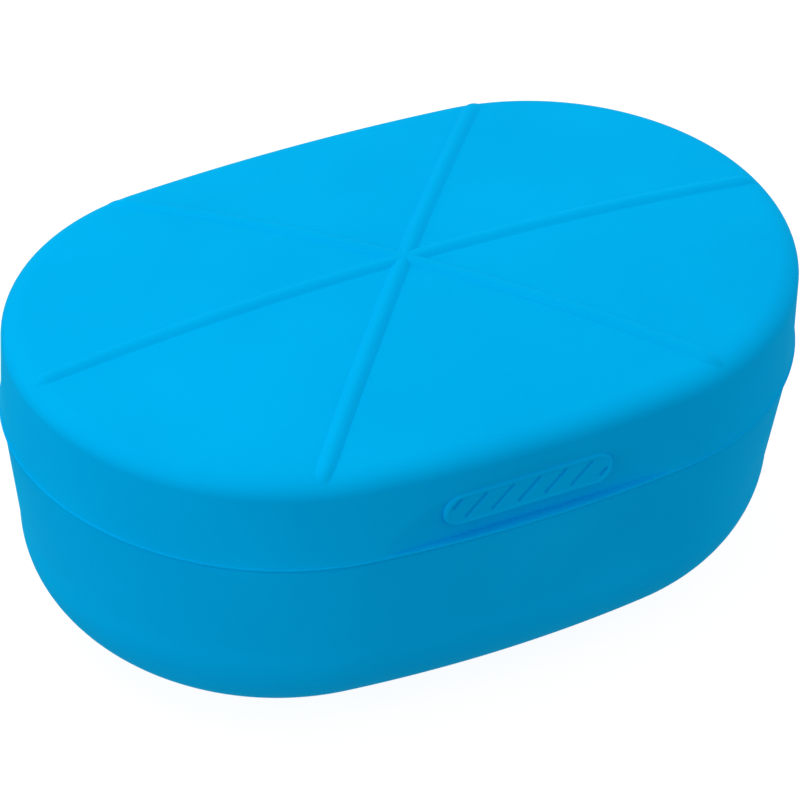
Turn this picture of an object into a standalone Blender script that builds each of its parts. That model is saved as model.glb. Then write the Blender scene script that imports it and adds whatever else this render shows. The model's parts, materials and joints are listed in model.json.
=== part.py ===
"""Pill crusher: an oval hinged case with a spring-loaded pestle under its ribbed lid.

The base holds a six-pocket tray and a steel crushing cup on a central pedestal.
Closing the lid drives the pestle into the cup. Units are metres, +Z is up, +Y is the
hinge side, and the origin is the centre of the resting face.
"""

import math

import bmesh
import bpy
from mathutils import Matrix, Vector

# Case outline at the lip of the lid: tangent arcs, bowed in front and nearly straight behind.
LENGTH = 0.1000
FRONT_WIDTH = 0.03435  # from the centre to the front
REAR_WIDTH = 0.0317
FRONT_END_RADIUS = 0.0333
REAR_END_RADIUS = 0.0309
END_STEPS = 9
SIDE_STEPS = 6

# Base tub.
PAD_DROP = 0.0005  # how far the case stands above the table on its pad
PARTING_Z = 0.0286
SHOULDER_Z = PARTING_Z - 0.0003
TUB_RADIUS = 0.0134  # the round between the floor and the wall
TUB_DRAFT = 0.0021
BASE_STEP = 0.0004  # the base stands back from the lip of the lid
BASE_WALL = 0.0027
TONGUE_OUTSET = 0.0021
TONGUE_TOP = 0.0306
LATCH_Z = PARTING_Z + 0.0009
PEDESTAL_RADIUS = 0.0090
PEDESTAL_BORE = 0.0064
PEDESTAL_TOP = 0.0158
RECESS_OFFSET = 0.0160
RECESS_Z = 0.0012
TRAY_SEAT = RECESS_Z + 0.0009

# Lid.
SKIRT_TOP = 0.0388
LIP_HEIGHT = 0.0005
SKIRT_INSET = 0.0003
LID_WALL = 0.0015
ROLL_RADIUS = 0.00345
ROLL_RISE = 0.0026
ROLL_END = 75  # degrees of the roll-over before the dome takes over
DOME_TOP = 0.0441
POST_TOP = 0.0417
RIB_RADIUS = 0.00105
RIB_SINK = 0.0004  # the rib's centreline lies this far below the dome
RIB_ANGLE = math.radians(49)

# Thumb pad on the front of the lid, in a shallow scoop.
GRIP_WIDTH = 0.0224
GRIP_HEIGHT = 0.0047
GRIP_Z = 0.0335
GRIP_FACE = FRONT_WIDTH - 0.0006
GROOVE_COUNT = 7
GROOVE_PITCH = 0.0035
GROOVE_LENGTH = 0.0038
GROOVE_WIDTH = 0.0005
GROOVE_DEPTH = 0.0003
GROOVE_SLANT = math.radians(46)
SCOOP_WIDTH = 0.0380  # wide enough for the flat cut to run out of the bowed front
SCOOP_HEIGHT = 0.0082
SCOOP_FLOOR = FRONT_WIDTH - 0.0013

# Hinge.
HINGE_Y = REAR_WIDTH + 0.0029
HINGE_Z = PARTING_Z
KNUCKLE_RADIUS = 0.0023
PIN_RADIUS = 0.0010
PIN_BORE = 0.0011
BASE_KNUCKLES = ((-0.0180, -0.0122), (-0.0030, 0.0030), (0.0122, 0.0180))
LID_KNUCKLES = ((-0.0120, -0.0032), (0.0032, 0.0120))
WEB_HEIGHT = 0.0013
WEB_DROP = 0.0005  # the webs stand this far clear of the parting plane
OPEN_ANGLE = math.radians(95)
HEEL_RADIUS = 0.0039
HEEL_THICK = 0.0012

# Tray.
TRAY_CLEARANCE = 0.0003
TRAY_WALL = 0.0013
TRAY_TOP = 0.0314
SOCKET_BORE = 0.0134
SOCKET_RADIUS = 0.0148
SOCKET_TOP = 0.0295
BOSS_RADIUS = 0.0026
BOSS_REACH = 0.0165
BOSS_TOP = 0.0115

# Crushing cup.
CUP_FLOOR = 0.0176
CUP_BOTTOM = 0.0160
CUP_RIM = 0.0312
CUP_FLANGE = 0.0146
TOOTH_COUNT = 6
TOOTH_SIZE = (0.0050, 0.0008, 0.0008)
TOOTH_START = 0.0024

# Liner and pestle in the lid.
LINER_OFFSET = 0.0022
LINER_BOTTOM = 0.0319
LINER_TOP = 0.0333
LINER_SEAT = LINER_BOTTOM + 0.0009
SLEEVE_RADIUS = 0.0046
SLEEVE_BOTTOM = 0.0275
SLEEVE_TOP = 0.0355
STEM_RADIUS = 0.0032
STEM_TOP = 0.0373
HEAD_FACE = 0.0182
HEAD_TOP = 0.0235
HEAD_RADIUS = 0.0088
SPRING_RADIUS = 0.0056
SPRING_WIRE = 0.0004
SPRING_TURNS = 5
CLIP_Z = 0.0357
CLIP_THICK = 0.0008
CLIP_RADIUS = 0.0048

# Screws.
SCREW_HEAD = 0.0019
SCREW_HEAD_THICK = 0.0008
SCREW_SHANK = 0.00085
SCREW_PILOT = 0.00100
SCREW_SINK = 0.0022
LINER_SCREW_X = 0.0300
LINER_SCREW_Y = 0.0140

GAP = 0.0002  # between pieces that touch
WELD = 0.00001

HALF_LENGTH = LENGTH / 2
RIB_ANGLES = (0.0, RIB_ANGLE, math.pi - RIB_ANGLE)

for old in list(bpy.data.objects):
    bpy.data.objects.remove(old)


def collection(name, hidden=False):
    made = bpy.data.collections.new(name)
    made.hide_render = hidden
    bpy.context.scene.collection.children.link(made)
    return made


PARTS = collection("pill_crusher")
CUTTERS = collection("cutters", hidden=True)


def material(name, colour, roughness, metallic=0.0):
    made = bpy.data.materials.new(name)
    made.use_nodes = True
    shader = made.node_tree.nodes["Principled BSDF"]
    shader.inputs["Base Color"].default_value = (*colour, 1.0)
    shader.inputs["Roughness"].default_value = roughness
    shader.inputs["Metallic"].default_value = metallic
    return made


BLUE = material("blue_shell", (0.0, 0.41, 0.82), 0.45)
WHITE = material("white_insert", (0.85, 0.86, 0.86), 0.40)
STEEL = material("steel", (0.62, 0.63, 0.65), 0.28, 1.0)
SILICONE = material("silicone", (0.72, 0.78, 0.82), 0.55)
RUBBER = material("rubber_pad", (0.05, 0.12, 0.20), 0.80)


# ---- helpers


def half_outline(end_radius, width):
    """Centre, radius and angle of each point round one half, from the right end to the left."""
    centre = HALF_LENGTH - end_radius
    side_radius = (centre**2 + width**2 - end_radius**2) / (2 * (width - end_radius))
    side_centre = side_radius - width
    join = math.atan2(side_centre, centre)
    points = [(centre, 0.0, end_radius, join * i / END_STEPS) for i in range(END_STEPS)]
    for i in range(SIDE_STEPS):
        points.append((0.0, -side_centre, side_radius, join + (math.pi - 2 * join) * i / SIDE_STEPS))
    for i in range(END_STEPS + 1):
        points.append((-centre, 0.0, end_radius, math.pi - join * (1 - i / END_STEPS)))
    return points


REAR = half_outline(REAR_END_RADIUS, REAR_WIDTH)
FRONT = half_outline(FRONT_END_RADIUS, FRONT_WIDTH)[-2:0:-1]


def oval(offset, z):
    """One ring of the case outline, moved inward by offset, at height z."""
    points = []
    for half, side in ((REAR, 1), (FRONT, -1)):
        for x, y, radius, angle in half:
            out = radius - offset
            points.append((x + out * math.cos(angle), side * (y + out * math.sin(angle)), z))
    return points


def scaled(ring, factor, z):
    return [(x * factor, y * factor, z) for x, y, _ in ring]


def add(name, mesh, look=None, cutter=False):
    made = bpy.data.objects.new(name, mesh)
    (CUTTERS if cutter else PARTS).objects.link(made)
    if cutter:
        made.hide_render = True
        made.display_type = "WIRE"
    if look:
        mesh.materials.append(look)
    return made


def finish_mesh(name, bm, look, cutter, smooth=30):
    bmesh.ops.recalc_face_normals(bm, faces=bm.faces)
    mesh = bpy.data.meshes.new(name)
    bm.to_mesh(mesh)
    bm.free()
    mesh.shade_smooth()
    mesh.set_sharp_from_angle(angle=math.radians(smooth))
    return add(name, mesh, look, cutter)


def loft(name, rings, look=None, cutter=False, ring_closed=False):
    """A skin through rings of equal length, capped at both ends or, if ring_closed, joined up."""
    bm = bmesh.new()
    rows = [[bm.verts.new(p) for p in ring] for ring in rings]
    count = len(rows[0])
    pairs = list(zip(rows, rows[1:]))
    if ring_closed:
        pairs.append((rows[-1], rows[0]))
    else:
        bm.faces.new(rows[0])
        bm.faces.new(rows[-1])
    for low, high in pairs:
        for i in range(count):
            j = (i + 1) % count
            bm.faces.new((low[i], low[j], high[j], high[i]))
    return finish_mesh(name, bm, look, cutter)


def cylinder(name, radius, low, high, x=0.0, y=0.0, sides=20, look=None, cutter=False, top=None):
    bm = bmesh.new()
    bmesh.ops.create_cone(
        bm,
        cap_ends=True,
        segments=sides,
        radius1=radius,
        radius2=radius if top is None else top,
        depth=high - low,
    )
    made = finish_mesh(name, bm, look, cutter)
    made.location = (x, y, (low + high) / 2)
    return made


def box(name, size, place, turn=0.0, look=None, cutter=False):
    bm = bmesh.new()
    bmesh.ops.create_cube(bm, size=1.0, matrix=Matrix.Diagonal((*size, 1.0)))
    made = finish_mesh(name, bm, look, cutter)
    made.location = place
    made.rotation_euler = (0, 0, turn)
    return made


def turned(name, profile, look=None, cutter=False, sides=32):
    """A profile of (radius, z) turned about Z; it starts at the top and runs down the outer side."""
    mesh = bpy.data.meshes.new(name)
    bm = bmesh.new()
    verts = [bm.verts.new((radius, 0, z)) for radius, z in profile]
    for a, b in zip(verts, verts[1:]):
        bm.edges.new((a, b))
    if profile[0][0] > 0:
        bm.edges.new((verts[-1], verts[0]))
    bm.to_mesh(mesh)
    bm.free()
    made = add(name, mesh, look, cutter)
    screw = made.modifiers.new("turn", "SCREW")
    screw.steps = sides
    screw.render_steps = sides
    screw.use_merge_vertices = True
    screw.merge_threshold = WELD
    return made


def combine(target, other, operation):
    modifier = target.modifiers.new(f"{operation.lower()} {other.name}", "BOOLEAN")
    modifier.operation = operation
    modifier.solver = "EXACT"
    modifier.object = other


def join(target, other):
    combine(target, other, "UNION")


def cut(target, other):
    combine(target, other, "DIFFERENCE")


def curve_tube(name, points, radius, look=None, cutter=False):
    """A round bar along a poly spline, returned as a welded mesh object."""
    curve = bpy.data.curves.new(name, "CURVE")
    curve.dimensions = "3D"
    curve.bevel_depth = radius
    curve.bevel_resolution = 2
    curve.use_fill_caps = True
    spline = curve.splines.new("POLY")
    spline.points.add(len(points) - 1)
    for target, point in zip(spline.points, points):
        target.co = (*point, 1.0)
    holder = bpy.data.objects.new(name + "_curve", curve)
    PARTS.objects.link(holder)
    bpy.context.view_layer.update()
    graph = bpy.context.evaluated_depsgraph_get()
    mesh = bpy.data.meshes.new_from_object(holder.evaluated_get(graph))
    bpy.data.objects.remove(holder)
    bm = bmesh.new()
    bm.from_mesh(mesh)
    bmesh.ops.remove_doubles(bm, verts=bm.verts, dist=WELD)
    return finish_mesh(name, bm, look, cutter)


def polar(angle, reach):
    return reach * math.cos(angle), reach * math.sin(angle)


def arc(centre_offset, centre_z, radius, start, end, steps, rise=None):
    """(offset, z) points on a quarter round; an angle of 0 points outward and 90 degrees up."""
    points = []
    for i in range(steps + 1):
        angle = math.radians(start + (end - start) * i / steps)
        up = radius if rise is None else rise
        points.append((centre_offset - radius * math.cos(angle), centre_z + up * math.sin(angle)))
    return points


# ---- base


FLOOR_OFFSET = BASE_STEP + TUB_DRAFT + TUB_RADIUS


def tub(inset, top):
    """(offset, z) stations of the tub wall, inset by a wall thickness, from its floor to its top."""
    centre_z = PAD_DROP + TUB_RADIUS
    stations = arc(FLOOR_OFFSET, centre_z, TUB_RADIUS - inset, -90, 0, 6)
    stations.append((BASE_STEP + inset, SHOULDER_Z))
    if top > SHOULDER_Z:
        stations.append((BASE_STEP + inset, top))
    return stations


def knuckle(owner, name, span, up, root):
    """A hinge barrel on the case, with the web that joins it to the wall at root."""
    low, high = span
    middle = (low + high) / 2
    barrel = cylinder(f"{name}_barrel", KNUCKLE_RADIUS, low, high, sides=16, cutter=True)
    barrel.rotation_euler = (0, math.pi / 2, 0)
    barrel.location = (middle, HINGE_Y, HINGE_Z)
    end = HINGE_Y - 0.0013
    rise = up * (WEB_DROP + WEB_HEIGHT / 2)
    size = (high - low, end - root, WEB_HEIGHT)
    join(owner, barrel)
    join(owner, box(f"{name}_web", size, (middle, (root + end) / 2, HINGE_Z + rise), cutter=True))


def pin_hole(owner, name):
    hole = cylinder(name, PIN_BORE, -0.03, 0.03, sides=16, cutter=True)
    hole.rotation_euler = (0, math.pi / 2, 0)
    hole.location = (0, HINGE_Y, HINGE_Z)
    cut(owner, hole)


def diagonal_places(reach):
    return [polar(angle, reach) for a in RIB_ANGLES[1:] for angle in (a, a + math.pi)]


def build_base():
    stations = [(RECESS_OFFSET, RECESS_Z), (RECESS_OFFSET, PAD_DROP)]
    stations += tub(0.0, SHOULDER_Z)
    stations += [
        (TONGUE_OUTSET, SHOULDER_Z),
        (TONGUE_OUTSET, TONGUE_TOP - 0.0003),
        (TONGUE_OUTSET + 0.0002, TONGUE_TOP),
    ]
    stations += reversed(tub(BASE_WALL, TONGUE_TOP))
    base = loft("base_shell", [oval(offset, z) for offset, z in stations], BLUE)
    floor_top = PAD_DROP + BASE_WALL
    pedestal = turned(
        "pedestal",
        [
            (PEDESTAL_RADIUS, PEDESTAL_TOP),
            (PEDESTAL_RADIUS, floor_top - 0.001),
            (PEDESTAL_BORE, floor_top - 0.001),
            (PEDESTAL_BORE, PEDESTAL_TOP),
        ],
        cutter=True,
        sides=24,
    )
    join(base, pedestal)
    for i, span in enumerate(BASE_KNUCKLES):
        knuckle(base, f"base_knuckle_{i}", span, -1, REAR_WIDTH - 0.0028)
    pin_hole(base, "base_pin_hole")
    for i, (x, y) in enumerate(diagonal_places(BOSS_REACH)):
        cut(base, cylinder(f"floor_hole_{i}", 0.0012, 0, 0.006, x, y, 12, cutter=True))
        cut(base, cylinder(f"floor_sink_{i}", SCREW_SINK, 0, TRAY_SEAT, x, y, 16, cutter=True))
    face = -FRONT_WIDTH + TONGUE_OUTSET
    cut(base, box("latch_groove", (0.0146, 0.0008, 0.0009), (0, face, LATCH_Z), cutter=True))


def build_pad():
    edge = RECESS_OFFSET + GAP
    rings = [oval(edge + 0.0003, 0.0), oval(edge, 0.0003), oval(edge, RECESS_Z - GAP / 2)]
    loft("non_slip_pad", rings, RUBBER)


def build_hinge_pin():
    low, high = BASE_KNUCKLES[0][0], BASE_KNUCKLES[-1][1]
    pin = cylinder("hinge_pin", PIN_RADIUS, low + 0.0002, high - 0.0002, sides=16, look=STEEL)
    pin.rotation_euler = (0, math.pi / 2, 0)
    pin.location = (0, HINGE_Y, HINGE_Z)


def build_rim_seal():
    inner, outer = BASE_STEP + BASE_WALL - 0.0001, TONGUE_OUTSET + 0.0001
    low, high = TONGUE_TOP + GAP / 2, LINER_BOTTOM - GAP
    stations = [(outer, low), (outer, high - 0.0002), (outer + 0.0002, high)]
    stations += [(inner - 0.0002, high), (inner, high - 0.0002), (inner, low)]
    loft("rim_seal", [oval(*s) for s in stations], SILICONE, ring_closed=True)


# ---- tray and cup


def build_tray():
    inset = BASE_WALL + TRAY_CLEARANCE
    tray = loft("tray", [oval(*s) for s in tub(inset, TRAY_TOP)], WHITE)
    pockets = loft(
        "tray_pockets",
        [oval(*s) for s in tub(inset + TRAY_WALL, TRAY_TOP + 0.003)],
        cutter=True,
    )
    cut(pockets, cylinder("pocket_core", SOCKET_RADIUS, -0.01, 0.05, sides=32, cutter=True))
    for i, angle in enumerate(RIB_ANGLES):
        size = (LENGTH, TRAY_WALL, 0.08)
        cut(pockets, box(f"pocket_wall_{i}", size, (0, 0, 0.02), angle, cutter=True))
    for i, (x, y) in enumerate(diagonal_places(BOSS_REACH)):
        boss = cylinder(f"tray_boss_{i}", BOSS_RADIUS, -0.01, BOSS_TOP, x, y, 16, cutter=True)
        cut(pockets, boss)
    cut(tray, pockets)
    cut(tray, cylinder("socket_bore", SOCKET_BORE, -0.01, 0.05, sides=32, cutter=True))
    relief = cylinder("socket_relief", SOCKET_RADIUS + 0.0004, SOCKET_TOP, 0.05, sides=32, cutter=True)
    cut(tray, relief)
    for i, (x, y) in enumerate(diagonal_places(BOSS_REACH)):
        pilot = cylinder(f"tray_pilot_{i}", SCREW_PILOT, 0, BOSS_TOP - 0.0012, x, y, 12, cutter=True)
        cut(tray, pilot)


def teeth(owner, name, z, turn):
    length, width, height = TOOTH_SIZE
    for i in range(TOOTH_COUNT):
        angle = turn + 2 * math.pi * i / TOOTH_COUNT
        x, y = polar(angle, TOOTH_START + length / 2)
        tooth = box(f"{name}_{i}", (length, width, height), (x, y, z), angle, cutter=True)
        join(owner, tooth)


def build_cup():
    cup = turned(
        "crush_cup",
        [
            (0.0, CUP_FLOOR),
            (0.0080, CUP_FLOOR),
            (0.0096, CUP_FLOOR + 0.0007),
            (0.0104, CUP_FLOOR + 0.0020),
            (0.0120, CUP_RIM),
            (CUP_FLANGE - 0.0002, CUP_RIM),
            (CUP_FLANGE, CUP_RIM - 0.0002),
            (CUP_FLANGE, CUP_RIM - 0.0008),
            (0.0130, CUP_RIM - 0.0008),
            (0.0114, CUP_FLOOR + 0.0014),
            (0.0100, CUP_BOTTOM),
            (0.0, CUP_BOTTOM),
        ],
        STEEL,
    )
    teeth(cup, "cup_tooth", CUP_FLOOR, math.radians(30))


def build_cup_ring():
    low, high = SOCKET_TOP + GAP / 2, CUP_RIM - 0.0008 - GAP / 2
    outer, inner = CUP_FLANGE - 0.0002, SOCKET_BORE + 0.0001
    turned(
        "cup_ring",
        [(inner, high), (outer, high), (outer, low), (inner, low)],
        SILICONE,
    )


# ---- lid


def lid_skin(inset):
    """Rings of the lid's outer skin, or of its inner one, from its lower edge to the middle of the dome."""
    skirt = SKIRT_INSET + inset
    rings = [oval(skirt, PARTING_Z + (LIP_HEIGHT + 0.0005 if inset == 0 else 0))]
    radius = ROLL_RADIUS - 0.6 * inset
    rise = ROLL_RISE - 0.6 * inset
    roll = arc(skirt + radius, SKIRT_TOP - 0.4 * inset, radius, 0, ROLL_END, 4, rise)
    rings += [oval(*station) for station in roll]
    edge = rings[-1]
    edge_z = roll[-1][1]
    crown = DOME_TOP - inset
    for share in (0.82, 0.62, 0.40, 0.16):
        rings.append(scaled(edge, share, crown - (crown - edge_z) * share**2))
    return rings


def reach(ring, angle):
    """How far out the ring lies from the Z axis in one direction, and at what height."""
    out = Vector((math.cos(angle), math.sin(angle)))
    for near, far in zip(ring, ring[1:] + ring[:1]):
        p = Vector(near[:2])
        q = Vector(far[:2])
        before, after = out.cross(p), out.cross(q)
        if before <= 0 < after and out.dot(p) > 0:
            return (p.lerp(q, before / (before - after))).length, near[2]
    raise ValueError("the ring doesn't go round the axis")


def rib_path(angle):
    """The rib's centreline over the dome and down both roll-overs, a little under the skin."""
    skin = [reach(ring, angle) for ring in lid_skin(0.0)[2:]]
    profile = [Vector(point) for point in skin]
    crown = Vector((0.0, DOME_TOP))
    half = []
    for before, point, after in zip(profile, profile[1:], profile[2:] + [crown]):
        along = (after - before).normalized()
        half.append(point + RIB_SINK * Vector((-along.y, along.x)))
    out = Vector((math.cos(angle), math.sin(angle), 0))
    up = Vector((0, 0, 1))
    side = [out * p.x + up * p.y for p in half]
    middle = [up * (crown.y - RIB_SINK)]
    return side + middle + [Vector((-p.x, -p.y, p.z)) for p in reversed(side)]


def build_lid():
    inner = lid_skin(LID_WALL)
    rings = list(reversed(inner))
    rings += [oval(0.0002, PARTING_Z), oval(0.0, PARTING_Z + 0.0002)]
    rings.append(oval(0.0, PARTING_Z + LIP_HEIGHT))
    rings += lid_skin(0.0)
    lid = loft("lid_shell", rings, BLUE)
    build_grip(lid)
    for i, span in enumerate(LID_KNUCKLES):
        knuckle(lid, f"lid_knuckle_{i}", span, 1, REAR_WIDTH - 0.0014)
        heel(lid, f"heel_{i}", span)
    pin_hole(lid, "lid_pin_hole")
    for i, (x, y) in enumerate(liner_screw_places()):
        post = cylinder(f"lid_post_{i}", 0.0026, LINER_TOP + GAP, POST_TOP, x, y, 16, cutter=True)
        join(lid, post)
        pilot = cylinder(f"lid_pilot_{i}", SCREW_PILOT, LINER_TOP, 0.0383, x, y, 12, cutter=True)
        cut(lid, pilot)
    tip = -FRONT_WIDTH + TONGUE_OUTSET - 0.00005
    latch = box("latch_bead", (0.0140, 0.0010, 0.0005), (0, tip - 0.0005, LATCH_Z), cutter=True)
    join(lid, latch)
    for i, angle in enumerate(RIB_ANGLES):
        join(lid, curve_tube(f"lid_rib_{i}", rib_path(angle), RIB_RADIUS, cutter=True))


def heel(lid, name, span):
    """The fin that meets the back of the base and stops the lid at its open angle."""
    low, high = span
    wall = HINGE_Y - REAR_WIDTH + BASE_STEP
    corner = math.hypot(HEEL_RADIUS, HEEL_THICK / 2)
    below = math.acos((wall - 0.0001) / corner) + math.atan2(HEEL_THICK / 2, HEEL_RADIUS)
    angle = below + OPEN_ANGLE
    direction = Vector((0, -math.cos(angle), -math.sin(angle)))
    fin = box(name, (high - low, HEEL_RADIUS / 2, HEEL_THICK), (0, 0, 0), cutter=True)
    fin.rotation_euler = (math.atan2(direction.z, direction.y), 0, 0)
    fin.location = Vector(((low + high) / 2, HINGE_Y, HINGE_Z)) + direction * HEEL_RADIUS * 0.75
    join(lid, fin)


def prism(name, outline, low, high, look=None, cutter=False):
    """A (y, z) outline drawn along X from low to high."""
    return loft(name, [[(x, y, z) for y, z in outline] for x in (low, high)], look, cutter)


def obround(width, height, steps=8):
    """(x, z) points round a bar with half-round ends."""
    reach_x = (width - height) / 2
    points = []
    for side in (0, 1):
        for i in range(steps + 1):
            angle = math.pi * (side - 0.5 + i / steps)
            centre = reach_x if side == 0 else -reach_x
            points.append((centre + height / 2 * math.cos(angle), height / 2 * math.sin(angle)))
    return points


def build_grip(lid):
    """The thumb pad with its slanted grooves, and the finger scoop that it stands in."""
    low = PARTING_Z + LIP_HEIGHT + 0.0002
    shares = [i / 6 for i in range(7)]
    outline = [(-FRONT_WIDTH - 0.002, low)]
    for share in shares:
        depth = (FRONT_WIDTH - SKIRT_INSET - SCOOP_FLOOR) * (1 - share**2)
        outline.append((-FRONT_WIDTH + SKIRT_INSET + depth, low + SCOOP_HEIGHT * share))
    outline.append((-FRONT_WIDTH - 0.002, low + SCOOP_HEIGHT))
    cut(lid, prism("scoop", outline, -SCOOP_WIDTH / 2, SCOOP_WIDTH / 2, cutter=True))
    back = -SCOOP_FLOOR + 0.0004
    rings = [
        [(x, y, GRIP_Z + z) for x, z in obround(GRIP_WIDTH - shrink, GRIP_HEIGHT - shrink)]
        for y, shrink in ((back, 0.0), (-GRIP_FACE + 0.0002, 0.0), (-GRIP_FACE, 0.0004))
    ]
    pad = loft("grip_pad", rings, cutter=True)
    middle = (GROOVE_COUNT - 1) / 2
    trim = loft(
        "groove_area",
        [
            [(x, y, GRIP_Z + z) for x, z in obround(GRIP_WIDTH - 0.0016, GRIP_HEIGHT - 0.0016)]
            for y in (-GRIP_FACE - 0.001, -GRIP_FACE + GROOVE_DEPTH)
        ],
        cutter=True,
    )
    for i in range(GROOVE_COUNT):
        size = (GROOVE_WIDTH, 0.004, GROOVE_LENGTH)
        place = ((i - middle) * GROOVE_PITCH, -GRIP_FACE, GRIP_Z)
        groove = box(f"groove_{i}", size, place, cutter=True)
        groove.rotation_euler = (0, GROOVE_SLANT, 0)
        combine(groove, trim, "INTERSECT")
        cut(pad, groove)
    join(lid, pad)


def liner_screw_places():
    return [(sx * LINER_SCREW_X, sy * LINER_SCREW_Y) for sx in (-1, 1) for sy in (-1, 1)]


def build_liner():
    edge = [(LINER_OFFSET, LINER_BOTTOM + 0.0003), (LINER_OFFSET, LINER_TOP)]
    stations = [(LINER_OFFSET + 0.0003, LINER_BOTTOM)] + edge
    liner = loft("lid_liner", [oval(*s) for s in stations], WHITE)
    sleeve = cylinder("sleeve", SLEEVE_RADIUS, SLEEVE_BOTTOM, SLEEVE_TOP, sides=24, cutter=True)
    join(liner, sleeve)
    cut(liner, cylinder("sleeve_bore", STEM_RADIUS + 0.00018, 0.02, 0.04, sides=6, cutter=True))
    for i, (x, y) in enumerate(liner_screw_places()):
        cut(liner, cylinder(f"liner_hole_{i}", 0.0012, 0.03, 0.034, x, y, 12, cutter=True))
        cut(liner, cylinder(f"liner_sink_{i}", SCREW_SINK, 0.03, LINER_SEAT, x, y, 16, cutter=True))


# ---- pestle


def build_pestle():
    head = turned(
        "pestle_head",
        [
            (0.0, HEAD_TOP),
            (HEAD_RADIUS - 0.0006, HEAD_TOP),
            (HEAD_RADIUS, HEAD_TOP - 0.0006),
            (HEAD_RADIUS, HEAD_FACE + 0.0022),
            (HEAD_RADIUS - 0.0003, HEAD_FACE + 0.0010),
            (HEAD_RADIUS - 0.0014, HEAD_FACE),
            (0.0, HEAD_FACE),
        ],
        STEEL,
    )
    teeth(head, "head_tooth", HEAD_FACE, 0.0)
    cut(head, cylinder("head_socket", 0.0023, HEAD_FACE + 0.0020, 0.03, sides=16, cutter=True))
    stem = cylinder("pestle_stem", STEM_RADIUS, HEAD_TOP + GAP / 2, STEM_TOP, sides=6, look=WHITE)
    spigot = cylinder("stem_spigot", 0.0021, HEAD_FACE + 0.0022, HEAD_TOP + 0.001, sides=16, cutter=True)
    join(stem, spigot)
    groove = turned(
        "clip_groove",
        [
            (0.0060, CLIP_Z + CLIP_THICK + GAP / 2),
            (0.0060, CLIP_Z - GAP / 2),
            (0.0022, CLIP_Z - GAP / 2),
            (0.0022, CLIP_Z + CLIP_THICK + GAP / 2),
        ],
        cutter=True,
        sides=24,
    )
    cut(stem, groove)


def build_clip():
    clip = turned(
        "retaining_clip",
        [
            (CLIP_RADIUS, CLIP_Z + CLIP_THICK),
            (CLIP_RADIUS, CLIP_Z),
            (0.0023, CLIP_Z),
            (0.0023, CLIP_Z + CLIP_THICK),
        ],
        STEEL,
        sides=24,
    )
    cut(clip, box("clip_mouth", (0.0036, 0.006, 0.004), (0, -0.0040, CLIP_Z), cutter=True))


def build_spring():
    low = HEAD_TOP + GAP / 2 + SPRING_WIRE
    high = LINER_BOTTOM - GAP / 2 - SPRING_WIRE
    points = []
    per_turn = 14
    count = per_turn * SPRING_TURNS
    for i in range(count + 1):
        angle = 2 * math.pi * i / per_turn
        share = i / count
        rise = min(1.0, max(0.0, (share * SPRING_TURNS - 0.7) / (SPRING_TURNS - 1.4)))
        x, y = polar(angle, SPRING_RADIUS)
        flat = 2.1 * SPRING_WIRE * min(share * SPRING_TURNS, 0.7)
        tail = 2.1 * SPRING_WIRE * max(0.0, share * SPRING_TURNS - SPRING_TURNS + 0.7)
        span = high - low - 4.2 * SPRING_WIRE * 0.7
        points.append((x, y, low + flat + span * rise + tail))
    curve_tube("pestle_spring", points, SPRING_WIRE, STEEL)


def screw(name, x, y, seat, length):
    """A pan-head screw whose head's flat side lies at seat, with its shank going up."""
    head = cylinder(name, SCREW_HEAD, seat - SCREW_HEAD_THICK, seat, x, y, 16, look=STEEL)
    shank = cylinder(f"{name}_shank", SCREW_SHANK, seat - 0.0003, seat + length, x, y, 12, cutter=True)
    join(head, shank)
    for turn in (0.0, math.pi / 2):
        slot = box(
            f"{name}_slot_{turn:.0f}",
            (0.0018, 0.0004, 0.0008),
            (x, y, seat - SCREW_HEAD_THICK),
            turn,
            cutter=True,
        )
        cut(head, slot)


def build_screws():
    for i, (x, y) in enumerate(diagonal_places(BOSS_REACH)):
        screw(f"tray_screw_{i + 1}", x, y, TRAY_SEAT - GAP / 2, 0.0070)
    for i, (x, y) in enumerate(liner_screw_places()):
        screw(f"liner_screw_{i + 1}", x, y, LINER_SEAT - GAP / 2, 0.0056)


build_base()
build_pad()
build_hinge_pin()
build_rim_seal()
build_tray()
build_cup()
build_cup_ring()
build_lid()
build_liner()
build_pestle()
build_clip()
build_spring()
build_screws()
bpy.context.view_layer.update()
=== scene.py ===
"""Looks of the pill crusher: a soft-touch blue case, with its tray, cup and sprung pestle inside.

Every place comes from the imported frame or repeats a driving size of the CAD. Metres, +Z up.
"""

import json
import math

import bmesh
import bpy
from mathutils import Matrix, Vector


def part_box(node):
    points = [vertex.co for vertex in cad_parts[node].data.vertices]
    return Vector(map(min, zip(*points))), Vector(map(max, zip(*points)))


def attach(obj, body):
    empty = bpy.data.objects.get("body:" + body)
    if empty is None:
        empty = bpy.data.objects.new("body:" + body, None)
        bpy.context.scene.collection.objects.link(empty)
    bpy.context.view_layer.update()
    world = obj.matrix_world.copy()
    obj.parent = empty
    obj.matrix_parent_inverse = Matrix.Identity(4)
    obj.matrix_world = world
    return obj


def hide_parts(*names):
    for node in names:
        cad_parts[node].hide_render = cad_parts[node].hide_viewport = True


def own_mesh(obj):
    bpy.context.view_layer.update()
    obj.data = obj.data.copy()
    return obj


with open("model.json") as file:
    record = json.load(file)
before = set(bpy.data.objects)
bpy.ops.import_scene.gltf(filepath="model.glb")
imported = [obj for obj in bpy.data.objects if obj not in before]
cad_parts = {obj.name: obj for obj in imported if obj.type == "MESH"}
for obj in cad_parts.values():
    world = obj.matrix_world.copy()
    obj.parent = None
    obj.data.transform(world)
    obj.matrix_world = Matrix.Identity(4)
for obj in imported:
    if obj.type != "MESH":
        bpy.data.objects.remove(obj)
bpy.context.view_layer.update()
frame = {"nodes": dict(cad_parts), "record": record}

MM = 0.001

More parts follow.
